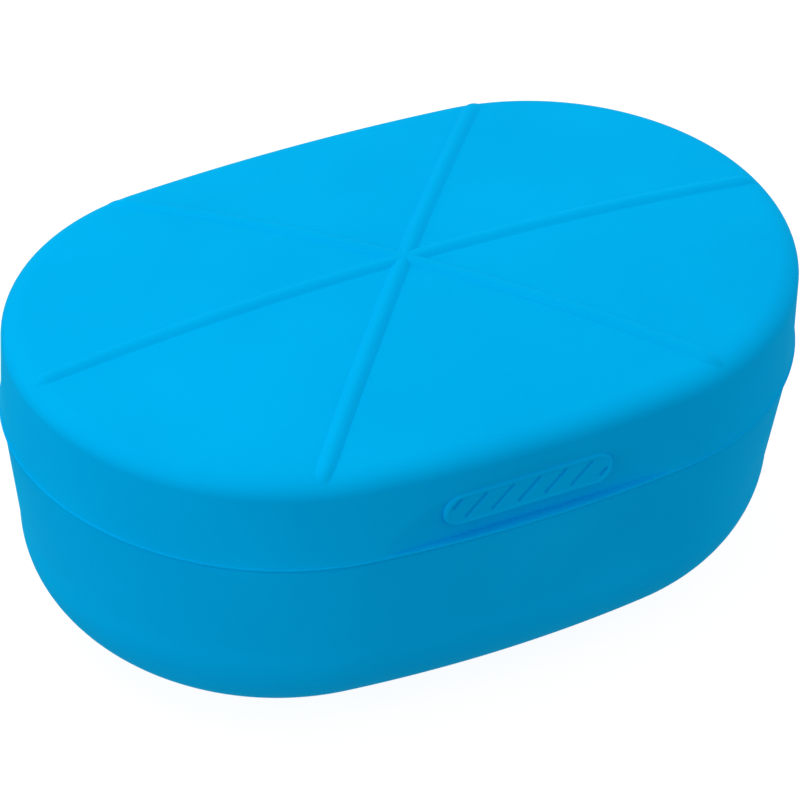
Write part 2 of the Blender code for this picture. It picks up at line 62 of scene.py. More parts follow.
# Sizes shared with the CAD.
HINGE = next(j for j in frame["record"]["behaviour"]["joints"] if j["name"] == "lid_hinge")
HINGE_AXIS = Vector(HINGE["pos_m"])
OPEN_ANGLE = math.radians(HINGE["range_deg"][1])
PARTING_Z = HINGE_AXIS.z
HALF_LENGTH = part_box("lid_shell")[1].x
FRONT_WIDTH = -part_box("lid_shell")[0].y
REAR_WIDTH = HINGE_AXIS.y - 2.9 * MM
FRONT_END_RADIUS = 33.3 * MM
REAR_END_RADIUS = 30.9 * MM

LIP_HEIGHT = 0.5 * MM
SKIRT_INSET = 0.3 * MM
SKIRT_TOP = 38.8 * MM
LID_WALL = 1.5 * MM
ROLL_RADIUS = 3.45 * MM
ROLL_RISE = 2.6 * MM
ROLL_END = math.radians(75)
DOME_TOP = 44.1 * MM
DOME_POWER = 2.1
RIB_ANGLES = (0.0, math.radians(49), math.radians(131))

PAD_DROP = 0.5 * MM
TUB_RADIUS = 13.4 * MM
TUB_DRAFT = 2.1 * MM
BASE_STEP = 0.4 * MM
SEAM = 0.08 * MM
BASE_WALL = 2.7 * MM
TONGUE_OUTSET = 2.1 * MM
TONGUE_TOP = 30.6 * MM
LATCH_Z = PARTING_Z + 0.9 * MM
RECESS_OFFSET = 16.0 * MM
RECESS_Z = 1.2 * MM

KNUCKLE_RADIUS = 2.3 * MM
PIN_BORE = 1.1 * MM
BASE_KNUCKLES = ((-18.0, -12.2), (-3.0, 3.0), (12.2, 18.0))
LID_KNUCKLES = ((-12.0, -3.2), (3.2, 12.0))
HEEL_RADIUS = 3.9 * MM
HEEL_THICK = 1.2 * MM

TRAY_INSET = BASE_WALL + 0.3 * MM
TRAY_WALL = 1.3 * MM
TRAY_TOP = 31.4 * MM
SOCKET_BORE = 13.4 * MM
SOCKET_RADIUS = 14.8 * MM
SOCKET_TOP = 29.5 * MM
BOSS_REACH = 16.5 * MM
BOSS_RADIUS = 2.6 * MM
BOSS_TOP = 11.5 * MM

CUP_FLOOR = 17.6 * MM
CUP_BOTTOM = 16.0 * MM
CUP_RIM = 31.2 * MM
CUP_FLANGE = 14.6 * MM
TOOTH_START = 2.4 * MM
TOOTH_LENGTH = 5.0 * MM
TOOTH_THICK = 0.8 * MM

LINER_OFFSET = 2.2 * MM
LINER_BOTTOM = 31.9 * MM
LINER_TOP = 33.3 * MM
LINER_SEAT = LINER_BOTTOM + 0.9 * MM
LINER_SCREW_X = 30.0 * MM
LINER_SCREW_Y = 14.0 * MM
SLEEVE_RADIUS = 4.6 * MM
SLEEVE_BOTTOM = 27.5 * MM
SLEEVE_TOP = 35.5 * MM
STEM_BORE = 3.38 * MM
SINK_RADIUS = 2.2 * MM
HEAD_FACE = 18.2 * MM
HEAD_TOP = 23.5 * MM
HEAD_RADIUS = 8.8 * MM
SPRING_RADIUS = 5.6 * MM
SPRING_WIRE = 0.4 * MM
SPRING_TURNS = 5


# ---- materials


def new_material(name):
    made = bpy.data.materials.new(name)
    made.use_nodes = True
    tree = made.node_tree
    return made, tree, tree.nodes["Principled BSDF"]


def noise(tree, scale, detail=3.0, rough=0.5, stretch=None):
    """A noise in the object's own space, or stretched along an axis by the inverse of its factor."""
    place = tree.nodes.new("ShaderNodeTexCoord").outputs["Object"]
    if stretch:
        mapping = tree.nodes.new("ShaderNodeMapping")
        mapping.inputs["Scale"].default_value = stretch
        tree.links.new(place, mapping.inputs["Vector"])
        place = mapping.outputs["Vector"]
    node = tree.nodes.new("ShaderNodeTexNoise")
    node.inputs["Scale"].default_value = scale
    node.inputs["Detail"].default_value = detail
    node.inputs["Roughness"].default_value = rough
    tree.links.new(place, node.inputs["Vector"])
    return node.outputs["Fac"]


def turning_marks(tree, scale):
    """A noise that varies only with the distance from the Z axis and with height, like lathe marks."""
    place = tree.nodes.new("ShaderNodeTexCoord").outputs["Object"]
    split = tree.nodes.new("ShaderNodeSeparateXYZ")
    tree.links.new(place, split.inputs["Vector"])
    flat = tree.nodes.new("ShaderNodeCombineXYZ")
    tree.links.new(split.outputs["X"], flat.inputs["X"])
    tree.links.new(split.outputs["Y"], flat.inputs["Y"])
    length = tree.nodes.new("ShaderNodeVectorMath")
    length.operation = "LENGTH"
    tree.links.new(flat.outputs["Vector"], length.inputs[0])
    pair = tree.nodes.new("ShaderNodeCombineXYZ")
    tree.links.new(length.outputs["Value"], pair.inputs["X"])
    tree.links.new(split.outputs["Z"], pair.inputs["Y"])
    node = tree.nodes.new("ShaderNodeTexNoise")
    node.inputs["Scale"].default_value = scale
    node.inputs["Detail"].default_value = 4.0
    tree.links.new(pair.outputs["Vector"], node.inputs["Vector"])
    return node.outputs["Fac"]


def ramp(tree, source, low, high, span=(0.3, 0.7)):
    """Maps the middle of a noise's range to two values, each a number or a colour."""
    node = tree.nodes.new("ShaderNodeMapRange")
    node.inputs["From Min"].default_value = span[0]
    node.inputs["From Max"].default_value = span[1]
    tree.links.new(source, node.inputs["Value"])
    if isinstance(low, tuple):
        mix = tree.nodes.new("ShaderNodeMix")
        mix.data_type = "RGBA"
        mix.inputs["A"].default_value = (*low, 1)
        mix.inputs["B"].default_value = (*high, 1)
        tree.links.new(node.outputs["Result"], mix.inputs["Factor"])
        return mix.outputs["Result"]
    node.inputs["To Min"].default_value = low
    node.inputs["To Max"].default_value = high
    return node.outputs["Result"]


def bump(tree, shader, source, depth, strength=1.0):
    node = tree.nodes.new("ShaderNodeBump")
    node.inputs["Distance"].default_value = depth
    node.inputs["Strength"].default_value = strength
    tree.links.new(source, node.inputs["Height"])
    previous = shader.inputs["Normal"].links
    if previous:
        tree.links.new(previous[0].from_socket, node.inputs["Normal"])
    tree.links.new(node.outputs["Normal"], shader.inputs["Normal"])


def soft_blue():
    """Matte, soft-touch moulded plastic: fine grain, faint clouding, and a cyan bloom at its edges."""
    made, tree, shader = new_material("soft_blue_plastic")
    colour = ramp(tree, noise(tree, 60, 4), (0.0, 0.400, 0.835), (0.0, 0.425, 0.870))
    tree.links.new(colour, shader.inputs["Base Color"])
    tree.links.new(ramp(tree, noise(tree, 240, 4), 0.50, 0.62), shader.inputs["Roughness"])
    shader.inputs["Specular IOR Level"].default_value = 0.004
    shader.inputs["Specular Tint"].default_value = (0.0, 0.75, 1.0, 1)
    shader.inputs["Sheen Weight"].default_value = 0.20
    shader.inputs["Sheen Roughness"].default_value = 0.35
    shader.inputs["Sheen Tint"].default_value = (0.0, 0.85, 1.0, 1)
    bump(tree, shader, noise(tree, 5200, 2), 0.02 * MM, 0.35)
    bump(tree, shader, noise(tree, 90, 2), 0.15 * MM, 0.10)
    return made


def moulded_white():
    """Satin food-grade plastic with a faint flow pattern from its mould."""
    made, tree, shader = new_material("white_insert_plastic")
    flow = noise(tree, 45, 5, 0.55, (1.0, 1.6, 0.5))
    tree.links.new(ramp(tree, flow, (0.77, 0.785, 0.79), (0.84, 0.85, 0.85)), shader.inputs["Base Color"])
    tree.links.new(ramp(tree, noise(tree, 300, 4), 0.30, 0.44), shader.inputs["Roughness"])
    shader.inputs["Subsurface Weight"].default_value = 0.08
    shader.inputs["Subsurface Scale"].default_value = 1.5 * MM
    shader.inputs["Specular IOR Level"].default_value = 0.45
    bump(tree, shader, noise(tree, 2600, 3), 0.015 * MM, 0.4)
    return made


def brushed_steel():
    """Stainless steel with the ring marks of its turning and a few fine scratches."""
    made, tree, shader = new_material("turned_steel")
    shader.inputs["Metallic"].default_value = 1.0
    marks = turning_marks(tree, 2600)
    tree.links.new(ramp(tree, marks, (0.52, 0.53, 0.55), (0.68, 0.69, 0.71)), shader.inputs["Base Color"])
    tree.links.new(ramp(tree, marks, 0.20, 0.38), shader.inputs["Roughness"])
    shader.inputs["Anisotropic"].default_value = 0.35
    bump(tree, shader, marks, 0.012 * MM, 0.5)
    bump(tree, shader, noise(tree, 700, 3, 0.6, (1.0, 9.0, 1.0)), 0.01 * MM, 0.3)
    return made


def silicone():
    """Milky silicone rubber with a dusty surface."""
    made, tree, shader = new_material("milky_silicone")
    tree.links.new(
        ramp(tree, noise(tree, 160, 4), (0.64, 0.71, 0.75), (0.74, 0.80, 0.83)), shader.inputs["Base Color"]
    )
    tree.links.new(ramp(tree, noise(tree, 420, 3), 0.50, 0.66), shader.inputs["Roughness"])
    shader.inputs["Subsurface Weight"].default_value = 0.25
    shader.inputs["Subsurface Scale"].default_value = 1.0 * MM
    bump(tree, shader, noise(tree, 3000, 2), 0.01 * MM, 0.4)
    return made


def rubber():
    """Dark elastomer with a pebbled grip texture."""
    made, tree, shader = new_material("pebbled_rubber")
    tree.links.new(
        ramp(tree, noise(tree, 200, 4), (0.030, 0.085, 0.150), (0.055, 0.130, 0.210)),
        shader.inputs["Base Color"],
    )
    place = tree.nodes.new("ShaderNodeTexCoord").outputs["Object"]
    cells = tree.nodes.new("ShaderNodeTexVoronoi")
    cells.inputs["Scale"].default_value = 900
    tree.links.new(place, cells.inputs["Vector"])
    tree.links.new(
        ramp(tree, cells.outputs["Distance"], 0.70, 0.88, (0.0, 0.8)), shader.inputs["Roughness"]
    )
    bump(tree, shader, cells.outputs["Distance"], 0.15 * MM, 0.6)
    return made


BLUE = soft_blue()
WHITE = moulded_white()
STEEL = brushed_steel()
SILICONE = silicone()
RUBBER = rubber()


# ---- outline


class Half:
    """The front or the rear half of the oval outline: an end arc, a side arc and an end arc."""

    def __init__(self, side, end_radius, width):
        self.side = side
        self.end_radius = end_radius
        self.centre = HALF_LENGTH - end_radius
        self.side_radius = (self.centre**2 + width**2 - end_radius**2) / (2 * (width - end_radius))
        self.side_centre = self.side_radius - width
        self.join = math.atan2(self.side_centre, self.centre)

    def arc_at(self, x, y):
        """Centre and radius of the arc that faces a point."""
        if math.atan2(abs(y) + self.side_centre, abs(x)) > self.join:
            return Vector((0, -self.side * self.side_centre)), self.side_radius
        return Vector((math.copysign(self.centre, x), 0)), self.end_radius

    def points(self, end_steps, side_steps):
        """Points with outward normals, from the +X tip round to the -X tip."""
        turns = [self.join * i / end_steps for i in range(end_steps)]
        turns += [self.join + (math.pi - 2 * self.join) * i / side_steps for i in range(side_steps)]
        turns += [math.pi - self.join * (1 - i / end_steps) for i in range(end_steps + 1)]
        made = []
        for number, turn in enumerate(turns):
            normal = Vector((math.cos(turn), self.side * math.sin(turn), 0))
            if number < end_steps:
                middle, radius = Vector((self.centre, 0, 0)), self.end_radius
            elif number < end_steps + side_steps:
                middle, radius = Vector((0, -self.side * self.side_centre, 0)), self.side_radius
            else:
                middle, radius = Vector((-self.centre, 0, 0)), self.end_radius
            made.append((middle + normal * radius, normal))
        return made


REAR = Half(1, REAR_END_RADIUS, REAR_WIDTH)
FRONT = Half(-1, FRONT_END_RADIUS, FRONT_WIDTH)


def outline(end_steps, side_steps):
    return REAR.points(end_steps, side_steps) + FRONT.points(end_steps, side_steps)[-2:0:-1]


FINE = outline(75, 110)
PLAIN = outline(34, 30)


def ring(offset, z, points=FINE):
    return [p - n * offset + Vector((0, 0, z)) for p, n in points]


def half_at(y):
    return REAR if y >= 0 else FRONT


def inset(x, y):
    """How far inside the outline a point lies."""
    centre, radius = half_at(y).arc_at(x, y)
    return radius - (Vector((x, y)) - centre).length


def reach(angle, offset):
    """How far the outline, moved inward by offset, is from the centre in one direction."""
    u = Vector((math.cos(angle), math.sin(angle)))
    half = half_at(u.y)
    for centre, radius in (
        (Vector((math.copysign(half.centre, u.x), 0)), half.end_radius - offset),
        (Vector((0, -half.side * half.side_centre)), half.side_radius - offset),
    ):
        along = u.dot(centre)
        out = along + math.sqrt(max(0.0, along**2 - centre.length_squared + radius**2))
        if abs(half.arc_at(u.x * out, u.y * out)[1] - radius - offset) < 1e-9:
            return out
    return out


# ---- mesh helpers


def rounded(points, radius, steps=4):
    """A 2D polyline with each of its inner corners turned into a small curve."""
    flat = [Vector(p) for p in points]
    made = [flat[0]]
    for before, corner, after in zip(flat, flat[1:], flat[2:]):
        back, ahead = before - corner, after - corner
        size = min(radius, 0.45 * back.length, 0.45 * ahead.length)
        start = corner + back.normalized() * size
        end = corner + ahead.normalized() * size
        for i in range(steps + 1):
            t = i / steps
            made.append(start * (1 - t) ** 2 + corner * 2 * t * (1 - t) + end * t**2)
    return made + [flat[-1]]


def quarter(offset, z, radius, start, end, steps, rise=None):
    """(offset, z) stations on a round: 0 points outward and a right angle up."""
    made = []
    for i in range(steps + 1):
        angle = start + (end - start) * i / steps
        up = radius if rise is None else rise
        made.append((offset - radius * math.cos(angle), z + up * math.sin(angle)))
    return made


def skin(rings, tip_low=None, tip_high=None, closed=False):
    """A bmesh through rings, each end closed by a fan to its tip or by joining the ends."""
    bm = bmesh.new()
    rows = [[bm.verts.new(p) for p in row] for row in rings]
    count = len(rows[0])
    pairs = list(zip(rows, rows[1:]))
    if closed:
        pairs.append((rows[-1], rows[0]))
    for low, high in pairs:
        for i in range(count):
            j = (i + 1) % count
            bm.faces.new((low[i], low[j], high[j], high[i]))
    for tip, row in ((tip_low, rows[0]), (tip_high, rows[-1])):
        if tip is not None:
            middle = bm.verts.new(tip)
            for i in range(count):
                bm.faces.new((row[i], row[(i + 1) % count], middle))
    return bm


def lathe(profile, sides=96, x=0.0, y=0.0):
    """A bmesh turned about a vertical axis. A profile that ends on the axis is closed there."""
    points = [Vector(p) for p in profile]
    on_axis = [p for p in (points[0], points[-1]) if p.x == 0]
    turned = [p for p in points if p.x > 0]
    rows = []
    for p in turned:
        turns = [2 * math.pi * i / sides for i in range(sides)]
        rows.append([Vector((x + p.x * math.cos(a), y + p.x * math.sin(a), p.y)) for a in turns])
    if not on_axis:
        return skin(rows, closed=True)
    tips = [Vector((x, y, p.y)) for p in (points[0], points[-1])]
    return skin(rows, tips[0], tips[1])


def brick(size, radius, matrix):
    """A bmesh of a bar with rounded edges."""
    bm = bmesh.new()
    bmesh.ops.create_cube(bm, size=1.0, matrix=Matrix.Diagonal((*size, 1.0)))
    bmesh.ops.bevel(
        bm, geom=bm.edges[:], offset=radius, segments=3, profile=0.5, affect="EDGES", clamp_overlap=True
    )
    bmesh.ops.transform(bm, matrix=matrix, verts=bm.verts)
    return bm


def soft_section(inner, outer, low, high, radius):
    """The (offset, z) section of a soft ring: a bar with rounded corners, as a closed loop."""
    middle = (inner + outer) / 2
    profile = [(middle, low), (outer, low), (outer, high), (inner, high), (inner, low), (middle, low)]
    return rounded(profile, radius)[:-1]


def merge(parts):
    """One bmesh that holds several closed ones."""
    whole = bmesh.new()
    for part in parts:
        mesh = bpy.data.meshes.new("part")
        bmesh.ops.recalc_face_normals(part, faces=part.faces)
        part.to_mesh(mesh)
        part.free()
        whole.from_mesh(mesh)
        bpy.data.meshes.remove(mesh)
    return whole


def raw_object(name, bm):
    bmesh.ops.recalc_face_normals(bm, faces=bm.faces)
    mesh = bpy.data.meshes.new(name)
    bm.to_mesh(mesh)
    bm.free()
    made = bpy.data.objects.new(name, mesh)
    bpy.context.scene.collection.objects.link(made)
    return made


def apply_modifiers(made):
    bpy.context.view_layer.update()
    graph = bpy.context.evaluated_depsgraph_get()
    mesh = bpy.data.meshes.new_from_object(made.evaluated_get(graph))
    made.modifiers.clear()
    made.data = mesh


def combine(made, others, operation="DIFFERENCE"):
    """Cuts the others from an object, or unites them with it, and removes them."""
    for other in others:
        modifier = made.modifiers.new("combine", "BOOLEAN")
        modifier.operation = operation
        modifier.solver = "EXACT"
        modifier.object = other
    apply_modifiers(made)
    for other in others:
        bpy.data.objects.remove(other)
    return made


def finish(made, material, body, node=None, smooth=40, bevel=0.0):
    """Shades and paints an object, rides it on its body and hides the CAD node it stands for."""
    if bevel:
        modifier = made.modifiers.new("edges", "BEVEL")
        modifier.width = bevel
        modifier.segments = 3
        modifier.limit_method = "ANGLE"
        modifier.angle_limit = math.radians(45)
        apply_modifiers(made)
    made.data.shade_smooth()
    made.data.set_sharp_from_angle(angle=math.radians(smooth))
    made.data.materials.clear()
    made.data.materials.append(material)
    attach(made, body)
    if node:
        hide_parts(node)
    return made


# ---- lid


class Roof:
    """The lid's top surface at one wall depth: a roll-over that runs into a shallow dome."""

    def __init__(self, depth):
        self.wall = SKIRT_INSET + depth
        self.radius = ROLL_RADIUS - depth * 0.6
        self.rise = ROLL_RISE - depth * 0.6
        self.centre_z = SKIRT_TOP - depth * 0.4
        self.edge = self.wall + self.radius * (1 - math.cos(ROLL_END))
        self.edge_z = self.centre_z + self.rise * math.sin(ROLL_END)
        self.top = DOME_TOP - depth

    def height(self, x, y):
        offset = inset(x, y)
        if offset < self.edge:
            part = min(1.0, max(0.0, 1 - (offset - self.wall) / self.radius))
            return self.centre_z + self.rise * math.sqrt(1 - part**2)
        angle = math.atan2(y, x)
        return self.dome(math.hypot(x, y) / reach(angle, self.edge))

    def dome(self, share):
        return self.top - (self.top - self.edge_z) * share**DOME_POWER

    def rings(self, roll_steps, dome_steps):
        stations = quarter(
            self.wall + self.radius, self.centre_z, self.radius, 0, ROLL_END, roll_steps, self.rise
        )
        rows = [ring(*station) for station in stations]
        edge = rows[-1]
        for step in range(1, dome_steps):
            share = 1 - step / dome_steps
            rows.append([Vector((p.x * share, p.y * share, self.dome(share))) for p in edge])
        return rows


OUTER = Roof(0.0)
INNER = Roof(LID_WALL)

SCOOP_FLOOR = FRONT_WIDTH - 1.35 * MM
SCOOP_LOW = PARTING_Z + LIP_HEIGHT + 0.1 * MM
SCOOP_HEIGHT = 8.2 * MM
SCOOP_BLEND = 0.12 * MM
SKIRT_STEPS = 40
LIP_RIDGE_Z = PARTING_Z + 0.38 * MM
LIP_RIDGE_RADIUS = 0.36 * MM
FOOT_INSET = 0.16 * MM
FLARE_HEIGHT = 1.2 * MM


def scoop_plane(z):
    """How far back the finger scoop's floor lies at a height."""
    rise = min(1.0, max(0.0, (z - SCOOP_LOW) / SCOOP_HEIGHT))
    return -FRONT_WIDTH + SKIRT_INSET + (FRONT_WIDTH - SKIRT_INSET - SCOOP_FLOOR) * (1 - rise**2)


def scoop(point):
    """Moves a point of the front skirt back onto the finger scoop, blending at its edges."""
    if point.y > -0.8 * FRONT_WIDTH or point.z > SCOOP_LOW + 1.2 * SCOOP_HEIGHT:
        return point
    gap = scoop_plane(point.z) - point.y
    step = (gap + math.sqrt(gap**2 + SCOOP_BLEND**2)) / 2 - SCOOP_BLEND / 2 * math.exp(-abs(gap) / MM)
    fade = min(1.0, max(0.0, (21 * MM - abs(point.x)) / (3 * MM)))
    return Vector((point.x, point.y + max(0.0, step) * fade, point.z))


def lid_skin():
    """The lid's shell: a fine rounded lip, the skirt with its finger scoop, and the roof."""
    wall = SKIRT_INSET + LID_WALL
    lip = [(wall, PARTING_Z + 0.3 * MM), (wall, PARTING_Z), (0.45 * MM, PARTING_Z + 0.01 * MM)]
    lip += quarter(0.38 * MM, LIP_RIDGE_Z, LIP_RIDGE_RADIUS, -1.4, 0, 6)
    lip += quarter(0.20 * MM, LIP_RIDGE_Z, LIP_RIDGE_RADIUS / 2, 0.25, 1.3, 4, 0.14 * MM)
    rows = [ring(*s) for s in lip]
    foot = SCOOP_LOW - 0.02 * MM
    for i in range(SKIRT_STEPS):
        z = foot + (SKIRT_TOP - foot) * i / SKIRT_STEPS
        flare = (SKIRT_INSET - FOOT_INSET) * math.exp(-(z - foot) / FLARE_HEIGHT)
        rows.append([scoop(p) for p in ring(SKIRT_INSET - flare, z)])
    rows += OUTER.rings(16, 40)
    inner = [ring(wall, PARTING_Z + 1 * MM)] + INNER.rings(8, 12)
    bm = skin(list(reversed(inner)) + rows, Vector((0, 0, INNER.top)), Vector((0, 0, OUTER.top)))
    finish(raw_object("lid_skin", bm), BLUE, "lid", "lid_shell", 50)


RIB_HEIGHT = 0.50 * MM
RIB_HALF = 1.15 * MM
RIB_FADE = 3.0 * MM
RIB_ROWS = 260
RIB_LANES = 20
RIB_ROOT = Vector((0, 0, 0.25 * MM))


def rib(name, angle):
    """A soft ridge across the roof that sinks into the roll-over at both ends."""
    out = Vector((math.cos(angle), math.sin(angle)))
    across = Vector((-out.y, out.x))
    tips = [reach(turn, OUTER.wall + 0.25 * ROLL_RADIUS) for turn in (angle, angle + math.pi)]
    rows = []
    for i in range(RIB_ROWS + 1):
        swing = math.cos(math.pi * i / RIB_ROWS)
        along = swing * (tips[0] if swing > 0 else tips[1])
        left = (tips[0] if swing > 0 else tips[1]) - abs(along)
        fade = math.sin(min(1.0, left / RIB_FADE) * math.pi / 2)
        row = []
        for k in range(RIB_LANES + 1):
            u = 2 * k / RIB_LANES - 1
            p = out * along + across * (u * RIB_HALF * (0.6 + 0.4 * fade))
            lift = RIB_HEIGHT * fade * (1 - u**2) ** 1.25 - 0.012 * MM
            row.append(Vector((p.x, p.y, OUTER.height(p.x, p.y))) + roof_normal(p) * lift)
        row += [row[-1] - RIB_ROOT, row[0] - RIB_ROOT]
        rows.append(row)
    ends = [sum(row, Vector((0, 0, 0))) / len(row) for row in (rows[0], rows[-1])]
    finish(raw_object(name, skin(rows, *ends)), BLUE, "lid", smooth=60)


def roof_normal(p):
    step = 0.02 * MM
    dx = (OUTER.height(p.x + step, p.y) - OUTER.height(p.x - step, p.y)) / (2 * step)
    dy = (OUTER.height(p.x, p.y + step) - OUTER.height(p.x, p.y - step)) / (2 * step)
    return Vector((-dx, -dy, 1)).normalized()


GRIP_WIDTH = 22.4 * MM
GRIP_HEIGHT = 4.7 * MM
GRIP_X = -0.8 * MM
GRIP_Z = 33.5 * MM
GRIP_FACE = FRONT_WIDTH - 0.5 * MM
GRIP_EDGE = 0.30 * MM
GRIP_RIM = 0.10 * MM
GRIP_STEPS = 48
GRIP_RIM_INSET = 0.45 * MM
GRIP_RIM_WIDTH = 0.15 * MM
# Each groove's middle, across and up the pad, and its length, in millimetres.
GROOVES = [(3.5 * i, 0.1, 4.0) for i in range(-2, 3)] + [(-9.5, 1.0, 1.7), (9.9, -0.6, 1.4)]
GROOVE_WIDTH = 0.60 * MM
GROOVE_DEPTH = 0.34 * MM
GROOVE_SLANT = math.radians(46)


def obround(width, height, steps):
    """(x, z) points round a bar with half-round ends, evenly spaced along its straights too."""
    half = (width - height) / 2
    points = []
    for side in (1, -1):
        for i in range(steps):
            angle = side * math.pi / 2 * (2 * i / steps - 1)
            points.append((side * half + side * height / 2 * math.cos(angle), height / 2 * math.sin(angle)))
        for i in range(3 * steps):
            points.append((side * half * (1 - 2 * i / (3 * steps)), side * height / 2))
    return points


def groove_depth(x, z):
    """How deep the slanted grooves are at a point of the pad's face."""
    deepest = 0.0
    for middle_x, middle_z, length in GROOVES:
        dx, dz = x - middle_x * MM, z - middle_z * MM
        along = dx * math.sin(GROOVE_SLANT) + dz * math.cos(GROOVE_SLANT)
        side = dx * math.cos(GROOVE_SLANT) - dz * math.sin(GROOVE_SLANT)
        past = max(0.0, abs(along) - (length * MM - GROOVE_WIDTH) / 2)
        from_axis = math.hypot(side, past) / (GROOVE_WIDTH / 2)
        if from_axis < 1:
            deepest = max(deepest, (1 - from_axis**2) ** 0.75)
    return GROOVE_DEPTH * deepest


def thumb_pad():
    """The raised thumb pad, with its edge rounded and its grooves sunk in its face."""
    back = -SCOOP_FLOOR + 0.9 * MM
    edge = [math.pi / 2 * i / 6 for i in range(6)]
    stations = [(-GRIP_FACE + GRIP_EDGE * (1 - math.sin(a)), GRIP_EDGE * (1 - math.cos(a))) for a in edge]
    face_rows = 44
    last = GRIP_HEIGHT / 2 - 0.02 * MM
    shrinks = [GRIP_EDGE + (last - GRIP_EDGE) * i / face_rows for i in range(face_rows + 1)]
    rows = [[(x, back, z) for x, z in obround(GRIP_WIDTH, GRIP_HEIGHT, GRIP_STEPS)]]
    for y, shrink in stations + [(-GRIP_FACE, s) for s in shrinks]:
        row = []
        for x, z in obround(GRIP_WIDTH - 2 * shrink, GRIP_HEIGHT - 2 * shrink, GRIP_STEPS):
            rim = GRIP_RIM * math.exp(-(((shrink - GRIP_RIM_INSET) / GRIP_RIM_WIDTH) ** 2))
            row.append((x, y - rim + groove_depth(x, z), z))
        rows.append(row)
    rows = [[Vector((GRIP_X + x, y, GRIP_Z + z)) for x, y, z in row] for row in rows]
    bm = skin(rows)
    bm.verts.ensure_lookup_table()
    count = len(rows[0])
    bm.faces.new(bm.verts[:count])
    last_row = bm.verts[-count:]
    arc = GRIP_STEPS
    bm.faces.new(last_row[: arc + 1])
    bm.faces.new(last_row[4 * arc : 5 * arc + 1])
    for i in range(3 * arc):
        low = (8 * arc - i) % count
        bm.faces.new((last_row[arc + i], last_row[arc + i + 1], last_row[8 * arc - i - 1], last_row[low]))
    finish(raw_object("thumb_pad", bm), BLUE, "lid", smooth=50)


LATCH_SIZE = (14.0 * MM, 0.6 * MM, 0.5 * MM)
LATCH_GROOVE = (14.6 * MM, 0.8 * MM, 0.9 * MM)
LATCH_ROUND = 0.2 * MM


def latch_bead():
    """The bead inside the lid's front wall that stands before the groove in the base's tongue."""
    place = Vector((0, -FRONT_WIDTH + TONGUE_OUTSET - 0.35 * MM, LATCH_Z))
    bead = brick(LATCH_SIZE, LATCH_ROUND, Matrix.Translation(place))
    finish(raw_object("latch_bead", bead), BLUE, "lid")


# ---- hinge


BARREL_SIDES = 56
WEB_THICK = 1.3 * MM
WEB_LIFT = 1.15 * MM
WEB_ROUND = 0.25 * MM
BASE_WEB_ROOT = REAR_WIDTH - 2.8 * MM
LID_WEB_ROOT = REAR_WIDTH - 1.4 * MM
HEEL_GAP = 0.1 * MM


def barrel(span):
    """A tube along the hinge axis with rounded ends."""
    low, high = (v * MM for v in span)
    outline_points = [(PIN_BORE, low), (KNUCKLE_RADIUS, low), (KNUCKLE_RADIUS, high), (PIN_BORE, high)]
    profile = rounded(outline_points, 0.35 * MM)
    rows = []
    for radius, x in profile:
        turns = [2 * math.pi * i / BARREL_SIDES for i in range(BARREL_SIDES)]
        rows.append([Vector((x, radius * math.cos(a), radius * math.sin(a))) + HINGE_AXIS for a in turns])
    return skin(rows, closed=True)


def web(span, up, root):
    """The bar that joins a knuckle to the case, above or below the parting plane."""
    low, high = (v * MM for v in span)
    end = HINGE_AXIS.y - 1.3 * MM
    place = Vector(((low + high) / 2, (root + end) / 2, HINGE_AXIS.z + up * WEB_LIFT))
    return brick((high - low, end - root, WEB_THICK), WEB_ROUND, Matrix.Translation(place))


def heel(span):
    """The fin that meets the back of the base when the lid is fully open."""
    low, high = (v * MM for v in span)
    wall = HINGE_AXIS.y - REAR_WIDTH + BASE_STEP
    corner = math.hypot(HEEL_RADIUS, HEEL_THICK / 2)
    below = math.acos((wall - HEEL_GAP) / corner) + math.atan2(HEEL_THICK / 2, HEEL_RADIUS)
    turn = below + OPEN_ANGLE
    direction = Vector((0, -math.cos(turn), -math.sin(turn)))
    place = Vector(((low + high) / 2, HINGE_AXIS.y, HINGE_AXIS.z)) + direction * HEEL_RADIUS * 0.75
    lean = Matrix.Rotation(math.atan2(direction.z, direction.y), 4, "X")
    size = (high - low, HEEL_RADIUS / 2, HEEL_THICK)
    return brick(size, WEB_ROUND, Matrix.Translation(place) @ lean)


def knuckles():
    for number, span in enumerate(BASE_KNUCKLES):
        bm = merge([barrel(span), web(span, -1, BASE_WEB_ROOT)])
        finish(raw_object(f"base_knuckle_{number + 1}", bm), BLUE, "base")
    for number, span in enumerate(LID_KNUCKLES):
        bm = merge([barrel(span), web(span, 1, LID_WEB_ROOT), heel(span)])
        finish(raw_object(f"lid_knuckle_{number + 1}", bm), BLUE, "lid")


# ---- base


def tub(offset, steps, top):
    """(offset, z) stations of the tub's wall, from its floor to its top."""
    floor = BASE_STEP + TUB_DRAFT + TUB_RADIUS
    low = PAD_DROP + TUB_RADIUS
    shoulder = PARTING_Z - 0.3 * MM
    stations = quarter(floor, low, TUB_RADIUS - offset, -math.pi / 2, 0, steps)
    for i in range(1, 9):
        share = i / 8
        stations.append((BASE_STEP + offset + TUB_DRAFT * (1 - share), low + (shoulder - low) * share))
    return stations + ([(BASE_STEP + offset, top)] if top > shoulder else [])


